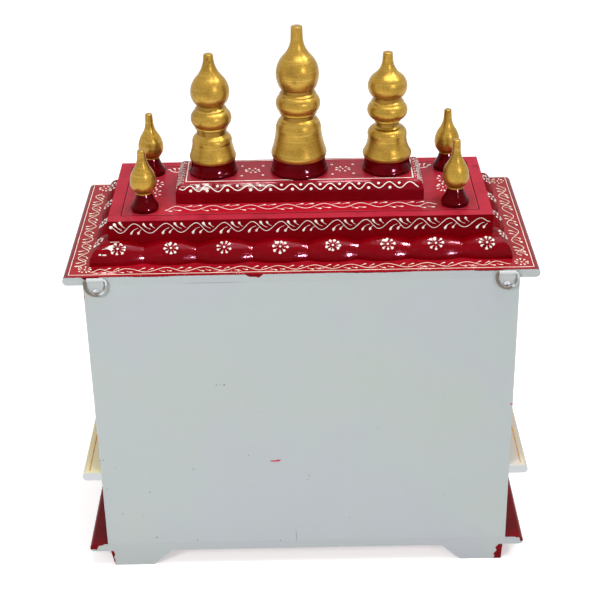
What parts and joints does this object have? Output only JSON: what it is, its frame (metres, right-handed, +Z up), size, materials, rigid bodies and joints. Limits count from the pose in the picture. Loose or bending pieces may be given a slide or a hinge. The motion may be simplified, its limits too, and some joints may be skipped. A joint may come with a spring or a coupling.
{
  "type": "tabletop household shrine with a spired roof",
  "caption": "Painted wooden tabletop shrine with an open arched niche, a petal moulded tiered roof, turned gilded spires and hinged ring hangers on its plain back.",
  "frame": {"origin": "centre of the footprint on the surface that the feet stand on", "axes": "+Z up; -Y out of the open niche, so +Y is the plain back; +X is to the right when the niche is seen from the front"},
  "size_m": [0.383, 0.1951, 0.4618],
  "materials": {
    "crimson_lacquer": "glossy crimson lacquer over wood",
    "white_paint": "matt white paint over board, slightly mottled",
    "cream_paint": "satin cream paint over board",
    "gold_paint": "metallic gold paint over turned wood",
    "hanger_steel": "zinc plated steel, partly painted over"
  },
  "bodies": {
    "shrine": {"back_panel": "white_paint", "base_board": "crimson_lacquer", "base_front": "crimson_lacquer", "base_side_left": "crimson_lacquer", "base_side_right": "crimson_lacquer", "column_left": "crimson_lacquer", "column_right": "crimson_lacquer", "foot_back_left": "crimson_lacquer", "foot_back_right": "crimson_lacquer", "foot_front_left": "crimson_lacquer", "foot_front_right": "crimson_lacquer", "front_arch": "crimson_lacquer", "hanger_strap_left": "hanger_steel", "hanger_strap_right": "hanger_steel", "petal_moulding_back": "crimson_lacquer", "petal_moulding_front": "crimson_lacquer", "petal_moulding_left": "crimson_lacquer", "petal_moulding_right": "crimson_lacquer", "roof_board": "crimson_lacquer", "shelf_board": "cream_paint", "side_wall_left": "crimson_lacquer", "side_wall_right": "crimson_lacquer", "spire_back_left": "gold_paint", "spire_back_right": "gold_paint", "spire_centre": "gold_paint", "spire_foot_back_left": "crimson_lacquer", "spire_foot_back_right": "crimson_lacquer", "spire_foot_centre": "crimson_lacquer", "spire_foot_front_left": "crimson_lacquer", "spire_foot_front_right": "crimson_lacquer", "spire_foot_left": "crimson_lacquer", "spire_foot_right": "crimson_lacquer", "spire_front_left": "gold_paint", "spire_front_right": "gold_paint", "spire_left": "gold_paint", "spire_right": "gold_paint", "tier_panel": "crimson_lacquer", "tier_wall_back": "crimson_lacquer", "tier_wall_front": "crimson_lacquer", "tier_wall_left": "crimson_lacquer", "tier_wall_right": "crimson_lacquer", "upper_tier": "crimson_lacquer"},
    "ring_left": {"hanger_ring_left": "hanger_steel"},
    "ring_right": {"hanger_ring_right": "hanger_steel"}
  },
  "joints": [
    {"name": "ring_left_swing", "type": "hinge", "parent": "shrine", "child": "ring_left", "pos_m": [-0.165, 0.09686, 0.2856], "axis": [1, 0, 0], "range_deg": [0, 165]},
    {"name": "ring_right_swing", "type": "hinge", "parent": "shrine", "child": "ring_right", "pos_m": [0.165, 0.09686, 0.2856], "axis": [1, 0, 0], "range_deg": [0, 165]}
  ]
}
